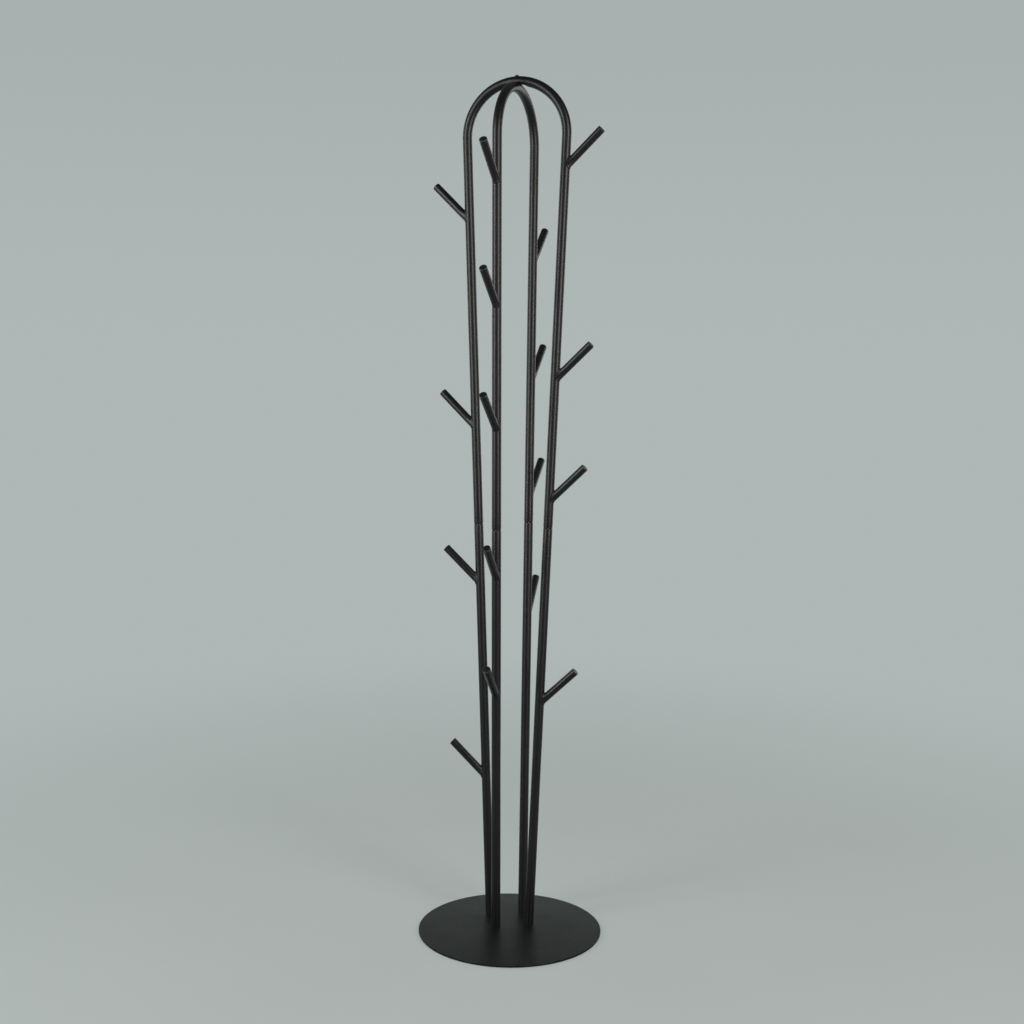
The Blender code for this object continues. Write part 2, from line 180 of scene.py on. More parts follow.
class Leg:
    """One leg's straight centre line, read from the stud at its joint."""

    def __init__(self, name):
        top, _ = end_face("joint_stud_" + name, UP)
        bottom, _ = end_face("joint_stud_" + name, -UP)
        self.name = name
        self.joint = (top + bottom) / 2
        self.direction = (top - bottom).normalized()
        self.radius = reach_from_line("lower_tube_" + name, self.joint, self.direction)
        self.half_gap = (self.joint - self.nearest(self.lowest_of_hoop())).length
        _, first_peg = self.peg_line(f"peg_{name}_1")
        self.outward = levelled(first_peg).normalized()

    def lowest_of_hoop(self):
        """Lowest corner, on this leg, of the hoop above."""
        hoop = next(name for name, pair in HOOP_LEGS.items() if self.name in pair)
        corners = [vertex.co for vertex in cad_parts[hoop].data.vertices]
        near = [corner for corner in corners if (corner - self.joint).length < self.radius * 2]
        return min(near, key=lambda corner: corner.dot(self.direction)).copy()

    def peg_line(self, node):
        """Centre of a peg's tip and the peg's direction, away from the leg."""
        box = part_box(node)
        away = middle_of(box) - self.at_height(box[0].z)
        return end_face(node, levelled(away).normalized() + UP)

    def nearest(self, point):
        """The centre line's nearest point."""
        return self.joint + self.direction * (point - self.joint).dot(self.direction)

    def flat(self, vector):
        """What a vector has square to the leg."""
        return vector - self.direction * vector.dot(self.direction)

    def at_height(self, height):
        return self.joint + self.direction * ((height - self.joint.z) / self.direction.z)

    def meet(self, point, direction):
        """Where another line comes nearest to the centre line."""
        across = direction.cross(self.direction)
        share = (self.joint - point).cross(self.direction).dot(across) / across.length_squared
        return self.nearest(point + direction * share)

    def mouth(self, upwards):
        """Centre of a tube's end at the joint."""
        return self.joint + self.direction * (self.half_gap if upwards else -self.half_gap)

    def rim_strength(self, mouth, roll):
        """How strongly a spot gets the painted highlight of a rim: 1 on the shoulder of the rolled end, 0
        away from it.
        """
        shoulder = roll / 2

        def strength(spot):
            back = abs((spot - mouth).dot(self.direction))
            return max(0.0, 1.0 - abs(back - shoulder) / shoulder)

        return strength


legs = {name: Leg(name) for name in LEGS}


class Hoop:
    """One hoop's bend, which its two straight legs run into."""

    def __init__(self, name):
        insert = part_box("crown_insert")
        self.name = name
        self.first, self.second = (legs[leg] for leg in HOOP_LEGS[name])
        self.contact = insert[1].z + self.first.half_gap
        over_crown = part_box("over_hoop")[1].z - self.first.radius
        crown = over_crown if name == "over_hoop" else 2 * self.contact - over_crown
        self.axis = levelled(middle_of(insert))
        run, rise = self.first.direction.dot(self.first.outward), self.first.direction.z
        inset = (self.first.joint - self.axis).dot(self.first.outward)
        drop = crown - self.first.joint.z
        self.radius = (inset * rise + drop * run) / (math.hypot(run, rise) + run)
        self.centre = self.axis + UP * (crown - self.radius)

    def on_bend(self, leg, angle):
        """Point on the bend's centre line, by its angle above a leg's own side."""
        return self.centre + self.radius * (leg.outward * math.cos(angle) + UP * math.sin(angle))

    def shoulder(self, leg):
        """Angle, above a leg's own side, at which the leg runs into the bend."""
        drop = self.centre.z - leg.joint.z
        inset = (leg.joint - self.centre).dot(leg.outward)
        return math.atan2(-drop, inset) + math.acos(self.radius / math.hypot(drop, inset))

    def press(self, work, sizes):
        """Flattens the tube against the other hoop, and lets it spread a little sideways."""
        along, tube = self.first.outward, self.first.radius
        across = along.cross(UP)
        meet = max if self.name == "over_hoop" else min
        quite_flat, plain = tube * PRESS_FULL, tube + sizes.press_fade
        for vert in work.verts:
            reach = abs((vert.co - self.centre).dot(along))
            if vert.co.z < self.centre.z or reach > plain:
                continue
            fade = max(0.0, (reach - quite_flat) / (plain - quite_flat))
            share = 1.0 - fade * fade * (3.0 - 2.0 * fade)
            rise = meet(vert.co.z, self.contact) - vert.co.z
            vert.co.z += share * rise
            aside = (vert.co - self.centre).dot(across)
            vert.co += across * (share * sizes.press_spread * aside / tube * (1.0 + abs(rise) / tube))


# ---------------- settings


def kind_of_setting(declare, **fixed):
    """A short way to declare one kind of setting, by its name, description, default and limits."""

    def setting(name, description, default, **limits):
        return declare(name=name, description=description, default=default, **{**fixed, **limits})

    return setting


length_setting = kind_of_setting(FloatProperty, subtype="DISTANCE", unit="LENGTH")
share_setting = kind_of_setting(FloatProperty, min=0.0, max=1.0, subtype="FACTOR")
strength_setting = kind_of_setting(FloatProperty, min=0.0, subtype="FACTOR")
power_setting = kind_of_setting(FloatProperty, min=0.0, subtype="POWER", unit="POWER")
angle_setting = kind_of_setting(FloatProperty, subtype="ANGLE", unit="ROTATION")
lens_setting = kind_of_setting(FloatProperty, subtype="DISTANCE_CAMERA", unit="CAMERA")
count_setting = kind_of_setting(IntProperty)
colour_setting = kind_of_setting(FloatVectorProperty, min=0.0, max=1.0, subtype="COLOR")
place_setting = kind_of_setting(FloatVectorProperty, subtype="TRANSLATION", unit="LENGTH")
panel_setting = kind_of_setting(FloatVectorProperty, size=2, min=0.05, unit="LENGTH")


class RackSizes(bpy.types.PropertyGroup):
    """Sizes of the visible detail. The rack's own sizes come from the frame."""

    tube_wall: length_setting("Tube Wall", "Wall of the tubes", 0.001, min=0.0003)
    rolled_end: length_setting(
        "Rolled End", "Radius to which each tube end is rolled in at the joint", 0.0018, min=0.0005
    )
    press_fade: length_setting(
        "Press Fade", "Length over which the flat at the crossing fades out along a hoop", 0.016, min=0.002
    )
    peg_wall: length_setting("Peg Wall", "Wall of the pegs", 0.0015, min=0.0005)
    peg_tip_round: length_setting(
        "Peg Tip Round", "Radius of the edge round a peg's flat tip", 0.0012, min=0.0002
    )
    weld_leg: length_setting(
        "Weld Size", "How far a weld bead runs up the peg and out over the leg", 0.0022, min=0.0005
    )
    weld_ripple: share_setting(
        "Weld Ripple", "Share by which the bead swells and shrinks along its run", 0.10, max=0.5
    )
    weld_crown: share_setting(
        "Weld Crown", "How far the bead stands out between its two toes, as a share of its size", 0.35
    )
    press_spread: length_setting(
        "Press Spread", "How far a pressed tube spreads on each side at the crossing", 0.0006, min=0.0
    )
    screw_gap: length_setting("Screw Gap", "Room between a screw and its hole", 0.0003, min=0.0)
    felt_margin: length_setting(
        "Felt Margin", "Room between a base screw's head and the felt", 0.0015, min=0.0
    )
    crown_shank: length_setting("Crown Screw Shank", "Radius of the crown screw's shank", 0.0025, min=0.001)
    crown_sleeve: length_setting(
        "Crown Insert Sleeve", "Radius of the threaded sleeve in the under hoop", 0.0036, min=0.001
    )
    crown_socket: length_setting(
        "Crown Screw Socket", "Width across the flats of the crown screw's socket", 0.003, min=0.001
    )
    base_socket: length_setting(
        "Base Screw Socket", "Width across the flats of a base screw's socket", 0.004, min=0.001
    )
    base_socket_depth: length_setting(
        "Base Socket Depth", "Depth of a base screw's socket", 0.002, min=0.0005
    )
    plate_edge: length_setting(
        "Plate Edge Round", "Radius of the base plate's rounded edges", 0.0011, min=0.0002
    )
    tube_sides: count_setting("Tube Sides", "Facets round a tube", 48, min=12)
    bend_steps: count_setting("Bend Steps", "Rings along a hoop's bend", 120, min=24)


class RackLook(bpy.types.PropertyGroup):
    """Colours and gloss of the finishes."""

    tube_colour: colour_setting(
        "Tube Coat", "Colour of the powder coat on tubes and pegs", (0.0056, 0.0060, 0.0058)
    )
    tube_roughness: share_setting("Tube Roughness", "Roughness of the satin coat on tubes and pegs", 0.40)
    plate_colour: colour_setting(
        "Base Coat", "Colour of the matt powder coat on the base plate", (0.0034, 0.0041, 0.0040)
    )
    plate_roughness: share_setting("Base Roughness", "Roughness of the matt coat on the base plate", 0.45)
    # Painted highlight: a lighter coat colour on rolled and rounded edges that stands in for the glints the
    # light puts there.
    painted_glint_colour: colour_setting(
        "Rubbed Edge", "Colour of the coat where an edge is rubbed smooth", (0.14, 0.14, 0.137)
    )
    dust_colour: colour_setting("Dust", "Colour of the thin dust on faces that look up", (0.20, 0.20, 0.19))
    zinc_colour: colour_setting("Zinc Plate", "Colour of the plated fasteners", (0.62, 0.63, 0.64))
    felt_colour: colour_setting("Felt", "Colour of the felt under the base", (0.035, 0.035, 0.037))


class StudioLook(bpy.types.PropertyGroup):
    """Camera, backdrop and lights."""

    backdrop_colour: colour_setting("Backdrop", "Colour behind the rack", (0.423, 0.474, 0.462))
    floor_colour: colour_setting("Floor", "Colour of the floor's paint", (0.61, 0.64, 0.63))
    camera_place: place_setting("Camera Place", "Where the camera stands", (-0.0380, -2.8505, 1.1870))
    camera_pan: angle_setting(
        "Camera Pan", "Turn of the camera to the right of straight back", math.radians(0.708)
    )
    camera_tilt: angle_setting("Camera Tilt", "Tilt of the camera up from level", math.radians(-6.158))
    camera_roll: angle_setting("Camera Roll", "Roll of the camera, its right side up", math.radians(0.519))
    camera_lens: lens_setting("Lens", "Focal length on a 36 mm sensor, in millimetres", 49.76, min=10.0)
    left_place: place_setting("Left Softbox Place", "Where the left softbox stands", (-2.20, -1.35, 1.60))
    right_place: place_setting("Right Softbox Place", "Where the right softbox stands", (1.70, -2.00, 1.60))
    back_place: place_setting(
        "Back Softbox Place", "Where the softbox behind the rack's right side stands", (2.2, 2.2, 1.4)
    )
    side_size: panel_setting("Side Softbox Size", "Width and height of each standing softbox", (0.9, 2.2))
    side_power: power_setting("Side Softboxes", "Power of each of the two softboxes in front", 44.0)
    back_power: power_setting("Back Softboxes", "Power of each of the two softboxes behind the rack", 12.0)
    low_place: place_setting(
        "Low Softbox Place", "Where the low softbox behind the base stands", (0.06, 0.62, 0.11)
    )
    low_size: panel_setting("Low Softbox Size", "Width and height of the low softbox", (1.5, 0.18))
    low_power: power_setting("Low Softbox", "Power of the low softbox behind the base", 1.4)
    left_tint: colour_setting("Cool Light", "Colour of the softboxes on the left", (0.98, 1.0, 1.0))
    right_tint: colour_setting("Warm Light", "Colour of the softboxes on the right", (1.0, 0.97, 0.94))
    room_colour: colour_setting("Room", "Colour of the dim room round the rack", (0.40, 0.44, 0.43))
    room_light_front: strength_setting(
        "Room Light In Front", "Strength of the light from the room in front of the rack", 0.26
    )
    room_light_back: strength_setting(
        "Room Light Behind", "Strength of the light from the backdrop behind the rack", 1.00
    )
    backdrop_falloff: share_setting(
        "Backdrop Falloff", "Brightness of the backdrop's top, as a share of its middle", 0.90
    )
    ceiling_light: strength_setting(
        "Ceiling Light", "Light from overhead, as a share of the light from the same side of the room", 0.35
    )
    floor_cover: share_setting(
        "Floor Cover", "How strongly the lit floor and its shadows show over the backdrop", 0.38
    )
    floor_clear: length_setting("Clear Floor", "Radius within which the floor is solid", 0.5, min=0.1)
    floor_reach: length_setting(
        "Floor Reach", "Radius at which the floor has faded into the backdrop", 3.0, min=1.0
    )


# ---------------- materials


def add_node(tree, kind, inputs=None, **settings):
    """Adds a shader node, and sets or links its inputs by their name or number."""
    node = tree.nodes.new(kind)
    for name, value in settings.items():
        setattr(node, name, value)
    for key, value in (inputs or {}).items():
        if isinstance(value, bpy.types.NodeSocket):
            tree.links.new(value, node.inputs[key])
        else:
            node.inputs[key].default_value = value
    return node


def noise(tree, place, scale, detail, roughness=0.5):
    inputs = {"Vector": place, "Scale": scale, "Detail": detail, "Roughness": roughness}
    return add_node(tree, "ShaderNodeTexNoise", inputs).outputs[0]


def calculate(tree, operation, first, second=0.0, clamp=False):
    inputs = {0: first, 1: second}
    return add_node(tree, "ShaderNodeMath", inputs, operation=operation, use_clamp=clamp).outputs[0]


def spread(tree, value, low, high, new_low=0.0, new_high=1.0):
    """Stretches a range of a value smoothly over a new range, and holds its ends."""
    inputs = {"Value": value, "From Min": low, "From Max": high, "To Min": new_low, "To Max": new_high}
    return add_node(tree, "ShaderNodeMapRange", inputs, interpolation_type="SMOOTHSTEP").outputs[0]


def vary(tree, value, low, high):
    """Stretches the values of a noise over a range."""
    return spread(tree, value, *NOISE_RANGE, low, high)


def mix_colour(tree, share, first, second):
    """Blends two colours, which a mix node takes at its inputs 6 and 7."""
    inputs = {0: share, 6: first, 7: second}
    return add_node(tree, "ShaderNodeMix", inputs, data_type="RGBA").outputs[2]


def scale_colour(tree, colour, factor):
    inputs = {0: colour, 1: factor}
    return add_node(tree, "ShaderNodeVectorMath", inputs, operation="MULTIPLY").outputs[0]


def new_group(name, inputs, outputs):
    """A shader node group with named inputs, given as (name, type, default), and outputs."""
    group = bpy.data.node_groups.new(name, "ShaderNodeTree")
    for label, kind, default in inputs:
        socket = group.interface.new_socket(name=label, in_out="INPUT", socket_type=kind)
        if default is not None:
            socket.default_value = default
    for label, kind in outputs:
        group.interface.new_socket(name=label, in_out="OUTPUT", socket_type=kind)
    return group, group.nodes.new("NodeGroupInput").outputs, group.nodes.new("NodeGroupOutput").inputs


def use_group(tree, group, inputs):
    return add_node(tree, "ShaderNodeGroup", inputs, node_tree=group).outputs


def powder_skin_group():
    """The skin of a baked powder coat: its flow, its fine grain, and clouds of thicker and thinner coat."""
    group, given, made = new_group(
        "powder_skin",
        [
            ("Place", "NodeSocketVector", None),
            ("Colour", "NodeSocketColor", (0.01, 0.01, 0.01, 1.0)),
            ("Roughness", "NodeSocketFloat", 0.4),
            ("Flow Scale", "NodeSocketFloat", 500.0),
            ("Grain Scale", "NodeSocketFloat", 2400.0),
            ("Grain Share", "NodeSocketFloat", 0.3),
        ],
        [("Colour", "NodeSocketColor"), ("Roughness", "NodeSocketFloat"), ("Height", "NodeSocketFloat")],
    )
    place = given["Place"]
    flow = noise(group, place, given["Flow Scale"], detail=2.0)
    grain = noise(group, place, given["Grain Scale"], detail=1.0)
    clouds = noise(group, place, scale=14.0, detail=4.0, roughness=0.6)
    fine_clouds = noise(group, place, scale=160.0, detail=2.0, roughness=0.6)
    shade = calculate(group, "MULTIPLY", vary(group, clouds, 0.9, 1.1), vary(group, fine_clouds, 0.9, 1.1))
    group.links.new(scale_colour(group, given["Colour"], shade), made["Colour"])
    gloss = calculate(group, "ADD", given["Roughness"], vary(group, clouds, -0.02, 0.02))
    gloss = calculate(group, "ADD", gloss, vary(group, fine_clouds, -0.02, 0.02), clamp=True)
    group.links.new(gloss, made["Roughness"])
    height = calculate(group, "ADD", flow, calculate(group, "MULTIPLY", grain, given["Grain Share"]))
    group.links.new(height, made["Height"])
    return group


def settled_dust_group():
    """Where thin dust lies: in patches, on what looks up."""
    group, given, made = new_group(
        "settled_dust",
        [("Place", "NodeSocketVector", None), ("Amount", "NodeSocketFloat", 0.1)],
        [("Mask", "NodeSocketFloat")],
    )
    normal = add_node(group, "ShaderNodeNewGeometry").outputs["Normal"]
    upward = add_node(group, "ShaderNodeSeparateXYZ", {0: normal}).outputs["Z"]
    lies = spread(group, upward, 0.45, 1.0)
    patches = noise(group, given["Place"], scale=22.0, detail=5.0, roughness=0.65)
    specks = noise(group, given["Place"], scale=900.0, detail=1.0)
    dust = calculate(
        group, "ADD", spread(group, patches, 0.36, 0.66), spread(group, specks, 0.60, 0.72, new_high=1.6)
    )
    cover = calculate(group, "MULTIPLY", lies, dust)
    group.links.new(calculate(group, "MULTIPLY", cover, given["Amount"], clamp=True), made["Mask"])
    return group


def painted_glint_group():
    """Where a rounded edge gets a painted highlight (glint), broken up along its run."""
    group, given, made = new_group(
        "rubbed_edge",
        [
            ("Place", "NodeSocketVector", None),
            ("Edge", "NodeSocketFloat", 0.0),
            ("Amount", "NodeSocketFloat", 0.5),
        ],
        [("Mask", "NodeSocketFloat")],
    )
    breaks = vary(group, noise(group, given["Place"], scale=110.0, detail=3.0), 0.0, 1.0)
    edge = calculate(group, "MULTIPLY", given["Edge"], breaks)
    group.links.new(calculate(group, "MULTIPLY", edge, given["Amount"], clamp=True), made["Mask"])
    return group


def new_material(name):
    """A material's tree, its shader and the place on the piece."""
    material = bpy.data.materials.new(name)
    material.use_nodes = True
    tree = material.node_tree
    place = add_node(tree, "ShaderNodeTexCoord").outputs["Object"]
    return material, tree, tree.nodes["Principled BSDF"], place


def feed_shader(tree, shader, colour, roughness, relief):
    """Links what changes over the surface to the shader. relief sets its Bump node."""
    bump = add_node(tree, "ShaderNodeBump", relief)
    tree.links.new(colour, shader.inputs["Base Color"])
    tree.links.new(roughness, shader.inputs["Roughness"])
    tree.links.new(bump.outputs[0], shader.inputs["Normal"])


def coated_steel(name, colour, roughness, shared, skin, glint_amount, dust):
    """Powder-coated steel. skin sets the powder_skin group, the edge amount how strongly rounded edges get a
    painted highlight (glint), dust how much lies.
    """
    material, tree, shader, place = new_material(name)
    skin = {"Place": place, "Colour": (*colour, 1.0), "Roughness": roughness, **skin}
    coat = use_group(tree, shared["powder_skin"], skin)
    edge = add_node(tree, "ShaderNodeAttribute", attribute_name="edge").outputs["Fac"]
    glint = use_group(tree, shared["rubbed_edge"], {"Place": place, "Edge": edge, "Amount": glint_amount})
    settled = use_group(tree, shared["settled_dust"], {"Place": place, "Amount": dust})
    look = shared["look"]
    # Painted highlight: the edge mask lightens the coat towards the glint colour, and smooths it.
    glinted = mix_colour(tree, glint["Mask"], coat["Colour"], (*look.painted_glint_colour, 1.0))
    dusty = mix_colour(tree, settled["Mask"], glinted, (*look.dust_colour, 1.0))
    smoother = calculate(tree, "MULTIPLY", glint["Mask"], GLINT_GLOSS)
    duller = calculate(tree, "MULTIPLY", settled["Mask"], DUST_DULLNESS)
    gloss = calculate(tree, "ADD", coat["Roughness"], smoother)
    gloss = calculate(tree, "ADD", gloss, duller, clamp=True)
    feed_shader(tree, shader, dusty, gloss, {"Strength": 0.4, "Distance": 0.00004, "Height": coat["Height"]})
    return material, shader


def tube_coat(shared):
    """Satin black on the tubes, hoops, pegs and the crown screw."""
    look = shared["look"]
    skin = {"Flow Scale": 420.0, "Grain Scale": 2200.0, "Grain Share": 0.25}
    material, shader = coated_steel(
        "satin_powder_coat", look.tube_colour, look.tube_roughness, shared, skin, glint_amount=0.45, dust=0.012
    )
    shader.inputs["Specular IOR Level"].default_value = 0.5
    return material


def base_coat(shared):
    """Matt black, with a coarser grain, on the base plate."""
    look = shared["look"]
    skin = {"Flow Scale": 650.0, "Grain Scale": 1900.0, "Grain Share": 0.8}
    material, shader = coated_steel(
        "matt_base_coat", look.plate_colour, look.plate_roughness, shared, skin, glint_amount=0.18, dust=0.004
    )
    shader.inputs["Specular IOR Level"].default_value = 0.20
    return material


def zinc_plate(shared):
    """Bright zinc plating, with faint clouds and turning marks, on the studs, inserts and base screws."""
    material, tree, shader, place = new_material("bright_zinc_plate")
    clouds = noise(tree, place, scale=90.0, detail=4.0, roughness=0.6)
    turned = add_node(tree, "ShaderNodeMapping", {"Vector": place, "Scale": (60.0, 60.0, 2600.0)})
    marks = noise(tree, turned.outputs[0], scale=1.0, detail=2.0)
    colour = tuple(shared["look"].zinc_colour)
    bluish = tuple(value * share for value, share in zip(colour, BLUISH_ZINC))
    tint = mix_colour(tree, spread(tree, clouds, 0.35, 0.65), (*colour, 1.0), (*bluish, 1.0))
    gloss = calculate(tree, "ADD", vary(tree, clouds, 0.24, 0.38), vary(tree, marks, 0.0, 0.08))
    feed_shader(tree, shader, tint, gloss, {"Strength": 0.3, "Distance": 0.00003, "Height": marks})
    shader.inputs["Metallic"].default_value = 1.0
    return material


def felt_cloth(shared):
    """Pressed felt: short fibres that lie in every direction, with a soft sheen."""
    material, tree, shader, place = new_material("pressed_felt")
    strands = []
    for turn in (0.3, 1.4, 2.5):
        inputs = {"Vector": place, "Rotation": (0.0, 0.0, turn), "Scale": (380.0, 3200.0, 900.0)}
        turned = add_node(tree, "ShaderNodeMapping", inputs).outputs[0]
        strands.append(noise(tree, turned, scale=1.0, detail=2.0, roughness=0.6))
    pile = calculate(tree, "MAXIMUM", calculate(tree, "MAXIMUM", strands[0], strands[1]), strands[2])
    tufts = noise(tree, place, scale=210.0, detail=3.0, roughness=0.6)
    dark = tuple(shared["look"].felt_colour)
    light = tuple(min(1.0, value * LIGHT_FIBRE) for value in dark)
    shade = calculate(tree, "MULTIPLY", spread(tree, pile, 0.45, 0.75), vary(tree, tufts, 0.4, 1.0))
    fibres = mix_colour(tree, shade, (*dark, 1.0), (*light, 1.0))
    height = calculate(tree, "ADD", pile, tufts)
    relief = {"Strength": 0.9, "Distance": 0.0003, "Height": height}
    feed_shader(tree, shader, fibres, vary(tree, tufts, 0.88, 1.0), relief)
    shader.inputs["Sheen Weight"].default_value = 0.35
    shader.inputs["Specular IOR Level"].default_value = 0.2
    return material


FINISHES = {"powder_coat": tube_coat, "base_coat": base_coat, "zinc_steel": zinc_plate, "felt": felt_cloth}
GROUPS = {
    "powder_skin": powder_skin_group,
    "settled_dust": settled_dust_group,
    "rubbed_edge": painted_glint_group,
}
made_finishes = {}


def finish_of(slot):
    """The material of one of the record's slots, made when it is first asked for."""
    if not made_finishes:
        made_finishes.update({name: make() for name, make in GROUPS.items()})
        made_finishes["look"] = bpy.context.scene.rack_look
    if slot not in made_finishes:
        made_finishes[slot] = FINISHES[slot](made_finishes)
    return made_finishes[slot]


# ---------------- modelling helpers


def mesh_of(work, name):
    """Turns a bmesh into a mesh."""
    mesh = bpy.data.meshes.new(name)
    work.to_mesh(mesh)
    work.free()
    return mesh


def add_object(name, data):
    """Puts a mesh, light or camera into the scene."""
    made = bpy.data.objects.new(name, data)
    bpy.context.scene.collection.objects.link(made)
    return made


def add_piece(name, work, slot, *nodes):
    """Turns a bmesh into a finished piece that rides on the rack and stands for CAD nodes."""
    mesh = mesh_of(work, name)
    mesh.materials.append(finish_of(slot))
    mesh.shade_smooth()
    mesh.set_sharp_from_angle(angle=SHARP_ANGLE)
    piece = add_object(name, mesh)
    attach(piece, BODY)
    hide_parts(*nodes)
    return piece


def settle(piece):
    """Applies a piece's modifiers to its mesh."""
    bpy.context.view_layer.update()
    graph = bpy.context.evaluated_depsgraph_get()
    shaped = piece.evaluated_get(graph)
    mesh = bpy.data.meshes.new_from_object(shaped, preserve_all_data_layers=True, depsgraph=graph)
    mesh.materials.clear()
    mesh.materials.append(piece.data.materials[0])
    piece.modifiers.clear()
    piece.data = mesh
    mesh.name = piece.name
    mesh.set_sharp_from_angle(angle=SHARP_ANGLE)


def carve(piece, work):
    """Cuts the shape in a bmesh out of a piece."""
    mesh = mesh_of(work, "cutter")
    mesh.materials.append(piece.data.materials[0])
    cutter = add_object("cutter", mesh)
    hole = piece.modifiers.new("Hole", "BOOLEAN")
    hole.operation = "DIFFERENCE"
    hole.solver = "EXACT"
    hole.object = cutter
    settle(piece)
    bpy.data.objects.remove(cutter)
    bpy.data.meshes.remove(mesh)


def add_wall(piece, thickness):
    """Gives a tube's skin its wall, inwards."""
    wall = piece.modifiers.new("Wall", "SOLIDIFY")
    wall.thickness = thickness
    wall.offset = -1.0
    wall.use_even_offset = True
    settle(piece)


def turn_profile(work, profile, centre):
    """Spins (radius, height) points about an upright axis into a closed skin."""
    points = [work.verts.new(centre + Vector((radius, 0.0, height))) for radius, height in profile]
    edges = [work.edges.new(pair) for pair in zip(points, points[1:])]
    bmesh.ops.spin(
        work, geom=points + edges, cent=centre, axis=UP, angle=math.tau, steps=SCREW_SIDES, use_merge=True
    )
    bmesh.ops.remove_doubles(work, verts=work.verts, dist=NEAR)
    bmesh.ops.recalc_face_normals(work, faces=work.faces)


def add_prism(work, centre, radius, low, high, sides):
    """A closed upright prism between two heights."""
    bmesh.ops.create_cone(
        work,
        cap_ends=True,
        segments=sides,
        radius1=radius,
        radius2=radius,
        depth=high - low,
        matrix=Matrix.Translation(centre + UP * (low + high) / 2),
    )


def carve_socket(screw, axis, across_flats, low, high):
    """Cuts a hexagon socket into a screw, by its width across the flats."""
    socket = bmesh.new()
    add_prism(socket, axis, across_flats / math.sqrt(3), low, high, 6)
    carve(screw, socket)


def rounded_disc(low, high, radius, edge):
    """A disc with rounded edges, its flats held by a narrow ring inside each edge."""
    work = bmesh.new()
    add_prism(work, Vector(), radius, low, high, PLATE_SIDES)
    flats = [face for face in work.faces if len(face.verts) > 4]
    rims = list({side for face in flats for side in face.edges})
    bmesh.ops.bevel(
        work, geom=rims, offset=edge, segments=EDGE_STEPS, profile=0.5, affect="EDGES", material=-1
    )
    flats = [face for face in work.faces if len(face.verts) > 4]
    bmesh.ops.inset_region(work, faces=flats, thickness=edge / 2, use_boundary=True, use_even_offset=True)
    bmesh.ops.recalc_face_normals(work, faces=work.faces)
    return work


def new_parts(made):
    """The vertices made by an operator, and the edges that join them to each other."""
    verts = {part for part in made if isinstance(part, bmesh.types.BMVert)}
    edges = {edge for vert in verts for edge in vert.link_edges if set(edge.verts) <= verts}
    return list(verts), list(edges)


class TubeRing:
    """The ring at the growing end of a tube's skin, which starts at a rolled end."""

    def __init__(self, work, mouth, direction, radius, sizes):
        self.work = work
        self.direction = direction
        self.rolled_rings = rolled_end(radius, sizes.rolled_end)
        narrow = self.rolled_rings[0][1]
        self.matrix = Matrix.LocRotScale(mouth, direction.to_track_quat("Z", "X"), Vector((narrow,) * 3))
        made = bmesh.ops.create_circle(work, segments=sizes.tube_sides, radius=1.0, matrix=self.matrix)
        self.verts, self.edges = new_parts(made["verts"])
        for back, wide in self.rolled_rings[1:]:
            self.grow(mouth + direction * back, direction, wide)

    def grow(self, point, direction, radius):
        """Extrudes the ring to a place, a direction and a radius."""
        turn = self.direction.rotation_difference(direction) @ self.matrix.to_quaternion()
        matrix = Matrix.LocRotScale(point, turn, Vector((radius,) * 3))
        made = bmesh.ops.extrude_edge_only(self.work, edges=self.edges)["geom"]
        self.verts, self.edges = new_parts(made)
        bmesh.ops.transform(self.work, matrix=matrix @ self.matrix.inverted(), verts=self.verts)
        self.matrix, self.direction = matrix, direction

    def run_to(self, point):
        """Grows a straight run in even steps."""
        start = self.matrix.to_translation()
        count = max(1, round((point - start).length / RUN_STEP))
        radius = self.matrix.to_scale().x
        for index in range(1, count + 1):
            self.grow(start.lerp(point, index / count), self.direction, radius)

    def bend(self, centre, axis, angle, steps):
        """Spins the ring round a bend."""
        made = bmesh.ops.spin(
            self.work,
            geom=self.verts + self.edges,
            cent=centre,
            axis=axis,
            angle=angle,
            steps=steps,
            use_merge=False,
        )
        self.verts, self.edges = new_parts(made["geom_last"])
        turn = Matrix.Rotation(angle, 4, axis)
        self.matrix = Matrix.Translation(centre) @ turn @ Matrix.Translation(-centre) @ self.matrix
        self.direction = turn.to_3x3() @ self.direction

    def run_to_mouth(self, mouth):
        """Grows a straight run and its rolled end, to the tube's far mouth."""
        direction = self.direction
        self.run_to(mouth - direction * self.rolled_rings[-1][0])
        for back, wide in reversed(self.rolled_rings[:-1]):
            self.grow(mouth - direction * back, direction, wide)


def rolled_end(radius, roll):
    """(Set-back, radius) of the rings of a rolled tube end, from its mouth to the full tube."""
    turns = [math.pi / 2 * step / ROLL_STEPS for step in range(ROLL_STEPS + 1)]
    return [(roll * (1 - math.cos(turn)), radius - roll * (1 - math.sin(turn))) for turn in turns]


def mark_edges(work, strength_at):
    """Writes how strongly each corner gets the painted highlight (glint), from 0 to 1, as the attribute that
    the coat reads.
    """
    layer = work.verts.layers.float.new("edge")
    for vert in work.verts:
        vert[layer] = strength_at(vert.co)


# ---------------- pieces


